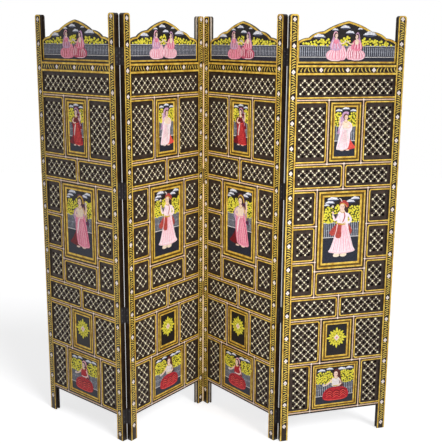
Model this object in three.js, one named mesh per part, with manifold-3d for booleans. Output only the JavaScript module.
// A four-panel folding screen with openwork lattice, in millimetres, +Z up.
// Every panel is drawn standing in its own frame: x runs across it from its left edge, y runs
// from its front face (0) to its back face (PANEL_THICKNESS), and z rises from the floor.
// The four panels are then chained at their hinge pins, the way the screen stands in a zig-zag.
import * as THREE from 'three';
import { mergeVertices } from 'three/addons/utils/BufferGeometryUtils.js';
import Module from 'manifold-3d';

const wasm = await Module();
wasm.setup();

// Driving dimensions: the panel
const PANEL_WIDTH = 508;
const PANEL_THICKNESS = 25;
const STILE_WIDTH = 36;
const STILE_CORNER_RADIUS = 11;
const STILE_RISE = 191; // of the stiles above the top rail
const LEG_HEIGHT = 116;
const PANEL_HEADINGS = [-39, 55, -49, 18]; // degrees from +x, in the stored standing pose

// Driving dimensions: the lattice frame between the stiles
const BOTTOM_RAIL = 20;
const MUNTIN = 20;
const TOP_RAIL = 52;
const EDGE_STRIP = 6; // of the frame, along each stile
const SEATED_ROW = 204;
const ROSETTE_ROW = 182;
const LOW_BAND = 83;
const UNDER_JALI = 94; // the lattice under the large picture
const LARGE_PICTURE_HEIGHT = 334;
const HIGH_BAND = 87;
const SMALL_PICTURE_ROW = 243;
const TOP_BAND = 84;
const LARGE_PICTURE_WIDTH = 212;
const SMALL_PICTURE_WIDTH = 134;
const SIDE_JALIS = 3; // stacked on each side of the large picture

// Driving dimensions: how the pieces lie in the thickness
const FRAME_FRONT = 1;
const FRAME_DEPTH = 19;
const JALI_RECESS = 3;
const LIP_DEPTH = 5; // of the frame in front of a picture board
const PICTURE_REBATE = 4;
const LARGE_MOULDING = 24;
const SMALL_MOULDING = 20; // also the rosette board's
const SEATED_MOULDING = 16;
const PICTURE_STEP = 7; // the lower, inner step of each moulding
const PICTURE_RECESS = 3;
const BACK_BOARD_THICKNESS = 3;
const BACK_BOARD_REBATE = 6;

// Driving dimensions: the lattice
const JALI_MARGIN = 9; // plain wood round the field of holes
const JALI_HALF_PITCH_X = 40;
const JALI_HALF_PITCH_Z = 33;
const JALI_FEWEST_STEPS = 3; // so that even a narrow cell has two columns of holes
const JALI_HOLE_SHARE = 0.64; // of the half pitch that a hole reaches out from its middle

// Driving dimensions: joinery
const SEAT_GAP = 0.3;
const TENON_LENGTH = 10;
const TENON_THICKNESS = 6;
const TENON_SHOULDER = 4; // above and below each tenon
const CREST_THICKNESS = 8;
const CREST_TONGUE = 7; // also the depth of the groove down each stile's inner side
const CREST_SIDE_RISE = 84; // of the crest at the stiles, above the top rail
const CREST_FIRST_NOTCH = { across: 84, rise: 101 }; // from the panel's edge, above the top rail
const CREST_SECOND_NOTCH = { across: 150, rise: 127 };
const CREST_APEX_RISE = 168;
const LOBE_BEND = { across: 0.38, rise: 0.9 }; // of a lobe's turning point, from its lower knee
const APEX_BEND = { across: 0.42, rise: 0.68 }; // of the middle lobe's, which rises to a point

// Driving dimensions: the butt hinges
const HINGE_HEIGHTS = [78, 545, 1083, 1628];
const HINGE_LENGTH = 70;
const HINGE_KNUCKLES = 3;
const KNUCKLE_RADIUS = 3;
const PIN_STANDS_OUT = 0.5; // of the pin's middle, from the panel's face
const KNUCKLE_SIDES = 8;
const KNUCKLE_GAP = 0.4;
const PIN_RADIUS = 1.3;
const LEAF_THICKNESS = 1.5;
const LEAF_MARGIN = 4; // of bare stile edge beyond the leaf
const LEAF_FACE_GAP = 1; // between the two stiles of a joint when it lies open
const HINGE_SIDES = ['back', 'front', 'back']; // the face that each joint's knuckles stand at

// Worked out from the dimensions above
const FRAME_BACK = FRAME_FRONT + FRAME_DEPTH;
const FRAME_LEFT = STILE_WIDTH + SEAT_GAP;
const FRAME_RIGHT = PANEL_WIDTH - FRAME_LEFT;
const JALI_FRONT = FRAME_FRONT + JALI_RECESS;
const LIP_BACK = FRAME_FRONT + LIP_DEPTH;
const BACK_BOARD_FRONT = FRAME_BACK + SEAT_GAP;
const TENON_FRONT = FRAME_FRONT + (FRAME_DEPTH - TENON_THICKNESS) / 2;
const FIGURE_ROW = LARGE_PICTURE_HEIGHT + MUNTIN + UNDER_JALI;
const CREST_FRONT = (PANEL_THICKNESS - CREST_THICKNESS) / 2;
const CREST_BACK = CREST_FRONT + CREST_THICKNESS;
const KNUCKLE_CLEAR_RADIUS = (KNUCKLE_RADIUS + SEAT_GAP) / Math.cos(Math.PI / KNUCKLE_SIDES);
const BORE_RADIUS = (PIN_RADIUS + SEAT_GAP) / Math.cos(Math.PI / KNUCKLE_SIDES);
const CURVE_STEPS = 5;
const CUT_THROUGH = 1; // how far a cutting solid runs past the wood it cuts

const ROW_HEIGHTS = [
  SEATED_ROW, ROSETTE_ROW, LOW_BAND, FIGURE_ROW, HIGH_BAND, SMALL_PICTURE_ROW, TOP_BAND,
];
const FIRST_FLOOR = LEG_HEIGHT + BOTTOM_RAIL;
const ROW_FLOORS = ROW_HEIGHTS.map((_, row) => (
  ROW_HEIGHTS.slice(0, row).reduce((floor, below) => floor + below + MUNTIN, FIRST_FLOOR)
));
const TOP_RAIL_FLOOR = ROW_FLOORS.at(-1) + TOP_BAND;
const FRAME_TOP = TOP_RAIL_FLOOR + TOP_RAIL;
const PANEL_HEIGHT = FRAME_TOP + STILE_RISE;

// Solids and meshes

function solidOf(geometry) {
  const bare = geometry.clone();
  bare.deleteAttribute('normal');
  bare.deleteAttribute('uv');
  const merged = mergeVertices(bare, 1e-4);
  return new wasm.Manifold(new wasm.Mesh({
    numProp: 3,
    vertProperties: new Float32Array(merged.attributes.position.array),
    triVerts: new Uint32Array(merged.index.array),
  }));
}

function geometryOf(solid) {
  const mesh = solid.getMesh();
  const geometry = new THREE.BufferGeometry();
  geometry.setAttribute('position', new THREE.BufferAttribute(mesh.vertProperties, 3));
  geometry.setIndex(new THREE.BufferAttribute(mesh.triVerts, 1));
  geometry.computeVertexNormals();
  return geometry;
}

function block(x, y, z) {
  const geometry = new THREE.BoxGeometry(x[1] - x[0], y[1] - y[0], z[1] - z[0]);
  geometry.translate((x[0] + x[1]) / 2, (y[0] + y[1]) / 2, (z[0] + z[1]) / 2);
  return solidOf(geometry);
}

// Outlines are drawn in the panel's face, x across and z up, and run through the wood along y
function board(shapes, front, back) {
  const settings = { depth: back - front, bevelEnabled: false, curveSegments: CURVE_STEPS };
  const geometry = new THREE.ExtrudeGeometry(shapes, settings);
  geometry.rotateX(Math.PI / 2);
  geometry.translate(0, back, 0);
  return solidOf(geometry);
}

function postAlongZ(radius, sides, low, high) {
  const geometry = new THREE.CylinderGeometry(radius, radius, high - low, sides);
  geometry.rotateX(Math.PI / 2);
  geometry.translate(0, 0, (low + high) / 2);
  return solidOf(geometry);
}

function grown(range, by) {
  return [range[0] - by, range[1] + by];
}

// The layout of a panel's openings

function columns(middleWidth) {
  const left = STILE_WIDTH + EDGE_STRIP;
  const middle = [(PANEL_WIDTH - middleWidth) / 2, (PANEL_WIDTH + middleWidth) / 2];
  return {
    left: [left, middle[0] - MUNTIN],
    middle,
    right: [middle[1] + MUNTIN, PANEL_WIDTH - left],
  };
}

function rowSpan(height, row) {
  return [ROW_FLOORS[row], ROW_FLOORS[row] + height];
}

function panelLayout() {
  const wide = columns(LARGE_PICTURE_WIDTH);
  const narrow = columns(SMALL_PICTURE_WIDTH);
  const fullWidth = [wide.left[0], wide.right[1]];
  const halfWidths = [
    [fullWidth[0], (PANEL_WIDTH - MUNTIN) / 2],
    [(PANEL_WIDTH + MUNTIN) / 2, fullWidth[1]],
  ];
  const [seated, rosette, lowBand, figure, highBand, small, topBand] = ROW_HEIGHTS.map(rowSpan);
  const pictures = {
    seated_picture: { x: wide.middle, z: seated, moulding: SEATED_MOULDING },
    rosette_board: { x: narrow.middle, z: rosette, moulding: SMALL_MOULDING },
    large_picture: {
      x: wide.middle,
      z: [figure[1] - LARGE_PICTURE_HEIGHT, figure[1]],
      moulding: LARGE_MOULDING,
    },
    small_picture: { x: narrow.middle, z: small, moulding: SMALL_MOULDING },
  };
  const jalis = [
    { x: fullWidth, z: topBand },
    { x: wide.middle, z: [figure[0], figure[0] + UNDER_JALI] },
  ];
  for (const x of halfWidths) jalis.push({ x, z: lowBand }, { x, z: highBand });
  for (const x of [narrow.left, narrow.right]) jalis.push({ x, z: rosette }, { x, z: small });
  const stacked = (FIGURE_ROW - (SIDE_JALIS - 1) * MUNTIN) / SIDE_JALIS;
  for (const x of [wide.left, wide.right]) {
    jalis.push({ x, z: seated });
    for (let step = 0; step < SIDE_JALIS; step += 1) {
      const floor = figure[0] + step * (stacked + MUNTIN);
      jalis.push({ x, z: [floor, floor + stacked] });
    }
  }
  return { pictures, jalis };
}

// The tenons stand at these rails, each given as its low and high edge
function tenonSpans() {
  const rails = [
    [LEG_HEIGHT, LEG_HEIGHT + BOTTOM_RAIL],
    [ROW_FLOORS[3] - MUNTIN, ROW_FLOORS[3]],
    [ROW_FLOORS[4] - MUNTIN, ROW_FLOORS[4]],
    [TOP_RAIL_FLOOR, FRAME_TOP - CREST_TONGUE],
  ];
  return rails.map((rail) => grown(rail, -TENON_SHOULDER));
}

// Lattice frame: rails, muntins and the pierced jali boards between them

function diamond(x, z, reachX, reachZ) {
  const shape = new THREE.Shape();
  shape.moveTo(x - reachX, z);
  shape.lineTo(x, z - reachZ);
  shape.lineTo(x + reachX, z);
  shape.lineTo(x, z + reachZ);
  shape.closePath();
  return shape;
}

// Holes stand on every second crossing of a grid that fills the cell inside its plain margin
function jaliHoles(cell) {
  const fieldX = grown(cell.x, -JALI_MARGIN);
  const fieldZ = grown(cell.z, -JALI_MARGIN);
  const countX = Math.max(JALI_FEWEST_STEPS, Math.round((fieldX[1] - fieldX[0]) / JALI_HALF_PITCH_X));
  const countZ = Math.max(JALI_FEWEST_STEPS, Math.round((fieldZ[1] - fieldZ[0]) / JALI_HALF_PITCH_Z));
  const stepX = (fieldX[1] - fieldX[0]) / countX;
  const stepZ = (fieldZ[1] - fieldZ[0]) / countZ;
  const holes = [];
  for (let i = 1; i < countX; i += 1) {
    for (let j = 1; j < countZ; j += 1) {
      if ((i + j) % 2 === 1) continue;
      holes.push(diamond(
        fieldX[0] + i * stepX,
        fieldZ[0] + j * stepZ,
        stepX * JALI_HOLE_SHARE,
        stepZ * JALI_HOLE_SHARE,
      ));
    }
  }
  return holes;
}

function latticeFrame() {
  const { pictures, jalis } = panelLayout();
  let frame = block([FRAME_LEFT, FRAME_RIGHT], [FRAME_FRONT, FRAME_BACK], [LEG_HEIGHT, FRAME_TOP]);
  for (const cell of jalis) {
    frame = frame.subtract(block(cell.x, [FRAME_FRONT - CUT_THROUGH, JALI_FRONT], cell.z));
  }
  const holes = jalis.flatMap(jaliHoles);
  frame = frame.subtract(board(holes, JALI_FRONT - CUT_THROUGH, FRAME_BACK + CUT_THROUGH));
  for (const opening of Object.values(pictures)) {
    frame = frame.subtract(block(opening.x, [FRAME_FRONT - CUT_THROUGH, FRAME_BACK], opening.z));
    frame = frame.subtract(block(
      grown(opening.x, PICTURE_REBATE),
      [LIP_BACK, FRAME_BACK + CUT_THROUGH],
      grown(opening.z, PICTURE_REBATE),
    ));
  }
  frame = frame.subtract(block(
    grown([FRAME_LEFT, FRAME_RIGHT], CUT_THROUGH),
    grown([CREST_FRONT, CREST_BACK], SEAT_GAP),
    [FRAME_TOP - CREST_TONGUE - SEAT_GAP, FRAME_TOP + CUT_THROUGH],
  ));
  const tenonReach = STILE_WIDTH - TENON_LENGTH;
  for (const span of tenonSpans()) {
    const depth = [TENON_FRONT, TENON_FRONT + TENON_THICKNESS];
    const rootedIn = FRAME_LEFT + EDGE_STRIP / 2;
    frame = frame.add(block([tenonReach, rootedIn], depth, span));
    frame = frame.add(block([PANEL_WIDTH - rootedIn, PANEL_WIDTH - tenonReach], depth, span));
  }
  return frame;
}

// Stiles: full-height posts, mortised and grooved all down the inside, and gained on the outside for
// the hinges, whose knuckles are let into the corner

function stileOutline(left) {
  const right = left + STILE_WIDTH;
  const shoulder = PANEL_HEIGHT - STILE_CORNER_RADIUS;
  const shape = new THREE.Shape();
  shape.moveTo(left, 0);
  shape.lineTo(right, 0);
  shape.lineTo(right, shoulder);
  shape.absarc(right - STILE_CORNER_RADIUS, shoulder, STILE_CORNER_RADIUS, 0, Math.PI / 2);
  shape.lineTo(left + STILE_CORNER_RADIUS, PANEL_HEIGHT);
  shape.absarc(left + STILE_CORNER_RADIUS, shoulder, STILE_CORNER_RADIUS, Math.PI / 2, Math.PI);
  shape.closePath();
  return shape;
}

// side is 'left' or 'right'; hinged is the face its joint's knuckles stand at, or null
function stile(side, hinged) {
  const fromOuterEdge = (near, far) => (
    side === 'left' ? [near, far] : [PANEL_WIDTH - far, PANEL_WIDTH - near]
  );
  const inner = STILE_WIDTH + CUT_THROUGH;
  let post = board(stileOutline(fromOuterEdge(0, STILE_WIDTH)[0]), 0, PANEL_THICKNESS);
  for (const span of tenonSpans()) {
    post = post.subtract(block(
      fromOuterEdge(STILE_WIDTH - TENON_LENGTH - SEAT_GAP, inner),
      grown([TENON_FRONT, TENON_FRONT + TENON_THICKNESS], SEAT_GAP),
      grown(span, SEAT_GAP),
    ));
  }
  post = post.subtract(block(
    fromOuterEdge(STILE_WIDTH - CREST_TONGUE, inner),
    grown([CREST_FRONT, CREST_BACK], SEAT_GAP),
    grown([0, PANEL_HEIGHT], CUT_THROUGH),
  ));
  post = post.subtract(block(
    fromOuterEdge(STILE_WIDTH - BACK_BOARD_REBATE, inner),
    [FRAME_BACK, PANEL_THICKNESS + CUT_THROUGH],
    grown([LEG_HEIGHT, FRAME_TOP], SEAT_GAP),
  ));
  if (hinged === null) return post;
  const gainDepth = hinged === 'back'
    ? [LEAF_MARGIN - SEAT_GAP, PANEL_THICKNESS + CUT_THROUGH]
    : [-CUT_THROUGH, PANEL_THICKNESS - LEAF_MARGIN + SEAT_GAP];
  const knuckleReach = KNUCKLE_RADIUS + SEAT_GAP;
  const notchDepth = hinged === 'back'
    ? [pinDepth(hinged) - knuckleReach, PANEL_THICKNESS + CUT_THROUGH]
    : [-CUT_THROUGH, pinDepth(hinged) + knuckleReach];
  for (const low of HINGE_HEIGHTS) {
    const span = grown([low, low + HINGE_LENGTH], SEAT_GAP);
    post = post
      .subtract(block(fromOuterEdge(-CUT_THROUGH, LEAF_THICKNESS + SEAT_GAP), gainDepth, span))
      .subtract(block(fromOuterEdge(-CUT_THROUGH, knuckleReach - LEAF_FACE_GAP / 2), notchDepth, span));
  }
  return post;
}

// Crest board: the lobed head between the stiles, tongued into them and into the top rail

function crestOutline() {
  const middle = PANEL_WIDTH / 2;
  const tongueEnd = STILE_WIDTH - CREST_TONGUE + SEAT_GAP;
  // each lobe leaves its lower knee steeply and meets the next one nearly level
  const knees = [
    { across: STILE_WIDTH, rise: CREST_SIDE_RISE },
    { ...CREST_FIRST_NOTCH, bend: LOBE_BEND },
    { ...CREST_SECOND_NOTCH, bend: LOBE_BEND },
    { across: middle, rise: CREST_APEX_RISE, bend: APEX_BEND },
  ];
  const turningPoint = (low, high) => ({
    across: low.across + (high.across - low.across) * high.bend.across,
    rise: low.rise + (high.rise - low.rise) * high.bend.rise,
  });
  const shape = new THREE.Shape();
  shape.moveTo(tongueEnd, FRAME_TOP - CREST_TONGUE);
  shape.lineTo(PANEL_WIDTH - tongueEnd, FRAME_TOP - CREST_TONGUE);
  shape.lineTo(PANEL_WIDTH - tongueEnd, FRAME_TOP + CREST_SIDE_RISE);
  shape.lineTo(PANEL_WIDTH - STILE_WIDTH, FRAME_TOP + CREST_SIDE_RISE);
  for (let knee = 1; knee < knees.length; knee += 1) {
    const turn = turningPoint(knees[knee - 1], knees[knee]);
    const end = knees[knee];
    shape.quadraticCurveTo(
      PANEL_WIDTH - turn.across,
      FRAME_TOP + turn.rise,
      PANEL_WIDTH - end.across,
      FRAME_TOP + end.rise,
    );
  }
  for (let knee = knees.length - 1; knee > 0; knee -= 1) {
    const turn = turningPoint(knees[knee - 1], knees[knee]);
    const end = knees[knee - 1];
    shape.quadraticCurveTo(turn.across, FRAME_TOP + turn.rise, end.across, FRAME_TOP + end.rise);
  }
  shape.lineTo(tongueEnd, FRAME_TOP + CREST_SIDE_RISE);
  shape.closePath();
  return shape;
}

function crestBoard() {
  return board(crestOutline(), CREST_FRONT, CREST_BACK);
}

// Picture boards: each drops in from behind against the frame's lip, and the back board holds it

function pictureBoard(opening) {
  const { moulding } = opening;
  const face = { x: grown(opening.x, -SEAT_GAP), z: grown(opening.z, -SEAT_GAP) };
  const flange = {
    x: grown(opening.x, PICTURE_REBATE - SEAT_GAP),
    z: grown(opening.z, PICTURE_REBATE - SEAT_GAP),
  };
  const step = moulding - PICTURE_STEP;
  return block(face.x, [0, FRAME_BACK], face.z)
    .add(block(flange.x, [LIP_BACK + SEAT_GAP, FRAME_BACK], flange.z))
    .subtract(block(
      grown(opening.x, -step),
      [-CUT_THROUGH, PICTURE_RECESS / 2],
      grown(opening.z, -step),
    ))
    .subtract(block(
      grown(opening.x, -moulding),
      [-CUT_THROUGH, PICTURE_RECESS],
      grown(opening.z, -moulding),
    ));
}

function backBoard() {
  const left = STILE_WIDTH - BACK_BOARD_REBATE + SEAT_GAP;
  return block(
    [left, PANEL_WIDTH - left],
    [BACK_BOARD_FRONT, BACK_BOARD_FRONT + BACK_BOARD_THICKNESS],
    [LEG_HEIGHT, FRAME_TOP],
  );
}

// Butt hinges, drawn round their own pin. A leaf lies in its stile's gain: hand is -1 where the
// stile is left of the pin and 1 where it is right, and away is 1 where the panel's thickness
// lies towards +y of the pin and -1 where it lies towards -y.

function pinDepth(hingeSide) {
  return hingeSide === 'back' ? PANEL_THICKNESS + PIN_STANDS_OUT : -PIN_STANDS_OUT;
}

function hingeLeaf(hand, away, carriesPin) {
  const sorted = (first, second) => [Math.min(first, second), Math.max(first, second)];
  const plateX = sorted(hand * LEAF_FACE_GAP / 2, hand * (LEAF_FACE_GAP / 2 + LEAF_THICKNESS));
  const plateY = sorted(0, away * (PIN_STANDS_OUT + PANEL_THICKNESS - LEAF_MARGIN));
  let leaf = block(plateX, plateY, [0, HINGE_LENGTH]);
  const pitch = HINGE_LENGTH / HINGE_KNUCKLES;
  for (let knuckle = 0; knuckle < HINGE_KNUCKLES; knuckle += 1) {
    const low = knuckle * pitch;
    const high = low + pitch;
    const own = (knuckle % 2 === 0) === carriesPin;
    leaf = own
      ? leaf.add(postAlongZ(
        KNUCKLE_RADIUS,
        KNUCKLE_SIDES,
        low + (knuckle === 0 ? 0 : KNUCKLE_GAP / 2),
        high - (knuckle === HINGE_KNUCKLES - 1 ? 0 : KNUCKLE_GAP / 2),
      ))
      : leaf.subtract(postAlongZ(
        KNUCKLE_CLEAR_RADIUS,
        KNUCKLE_SIDES,
        low - (knuckle === 0 ? CUT_THROUGH : KNUCKLE_GAP / 2),
        high + (knuckle === HINGE_KNUCKLES - 1 ? CUT_THROUGH : KNUCKLE_GAP / 2),
      ));
  }
  return carriesPin
    ? leaf.add(postAlongZ(PIN_RADIUS, KNUCKLE_SIDES, pitch / 2, HINGE_LENGTH - pitch / 2))
    : leaf.subtract(postAlongZ(BORE_RADIUS, KNUCKLE_SIDES, -CUT_THROUGH, HINGE_LENGTH + CUT_THROUGH));
}

// Finishes

const blackLacquer = new THREE.MeshStandardMaterial({ color: 0x1a1410, roughness: 0.35, metalness: 0 });
const latticeLacquer = new THREE.MeshStandardMaterial({ color: 0x2a221c, roughness: 0.45, metalness: 0 });
const crestPaint = new THREE.MeshStandardMaterial({ color: 0x3a3a34, roughness: 0.4, metalness: 0 });
const goldPaint = new THREE.MeshStandardMaterial({ color: 0xb98f2e, roughness: 0.4, metalness: 0.2 });
const backPaint = new THREE.MeshStandardMaterial({ color: 0x0c0a09, roughness: 0.6, metalness: 0 });
const hingeSteel = new THREE.MeshStandardMaterial({ color: 0x8f8c88, roughness: 0.45, metalness: 0.9 });

function piece(name, geometry, material) {
  const mesh = new THREE.Mesh(geometry, material);
  mesh.name = name;
  return mesh;
}

// Assembly

const screen = new THREE.Group();
const frameGeometry = geometryOf(latticeFrame());
const crestGeometry = geometryOf(crestBoard());
const backGeometry = geometryOf(backBoard());
const { pictures } = panelLayout();

function panel(number) {
  const group = new THREE.Group();
  const leftHinge = HINGE_SIDES[number - 2] ?? null;
  const rightHinge = HINGE_SIDES[number - 1] ?? null;
  const named = (suffix) => `panel_${number}_${suffix}`;
  group.add(piece(named('left_stile'), geometryOf(stile('left', leftHinge)), blackLacquer));
  group.add(piece(named('right_stile'), geometryOf(stile('right', rightHinge)), blackLacquer));
  group.add(piece(named('lattice_frame'), frameGeometry, latticeLacquer));
  group.add(piece(named('crest_board'), crestGeometry, crestPaint));
  group.add(piece(named('back_board'), backGeometry, backPaint));
  for (const [name, opening] of Object.entries(pictures)) {
    group.add(piece(named(name), geometryOf(pictureBoard(opening)), goldPaint));
  }
  return group;
}

const panels = [1, 2, 3, 4].map(panel);
panels.forEach((group, index) => {
  group.rotation.z = THREE.MathUtils.degToRad(PANEL_HEADINGS[index]);
  if (index > 0) {
    // the two pins' places, in the frames of the panel before and of this one, meet in the room
    const depth = pinDepth(HINGE_SIDES[index - 1]);
    const before = panels[index - 1];
    const pin = new THREE.Vector3(PANEL_WIDTH + LEAF_FACE_GAP / 2, depth, 0);
    pin.applyEuler(before.rotation).add(before.position);
    const own = new THREE.Vector3(-LEAF_FACE_GAP / 2, depth, 0).applyEuler(group.rotation);
    group.position.copy(pin.sub(own));
  }
  screen.add(group);
});

HINGE_SIDES.forEach((hingeSide, joint) => {
  const away = hingeSide === 'back' ? -1 : 1;
  const pinLeaf = geometryOf(hingeLeaf(-1, away, true));
  const freeLeaf = geometryOf(hingeLeaf(1, away, false));
  HINGE_HEIGHTS.forEach((low, index) => {
    const named = `hinge_${joint + 1}${joint + 2}_${index + 1}`;
    const onPin = piece(`${named}_pin_leaf`, pinLeaf, hingeSteel);
    onPin.position.set(PANEL_WIDTH + LEAF_FACE_GAP / 2, pinDepth(hingeSide), low);
    panels[joint].add(onPin);
    const onBarrel = piece(`${named}_barrel_leaf`, freeLeaf, hingeSteel);
    onBarrel.position.set(-LEAF_FACE_GAP / 2, pinDepth(hingeSide), low);
    panels[joint + 1].add(onBarrel);
  });
});

// The object's origin is on the floor under the middle of its bounding box
const bounds = new THREE.Box3().setFromObject(screen);
const middle = bounds.getCenter(new THREE.Vector3());
screen.position.set(-middle.x, -middle.y, 0);

export default screen;
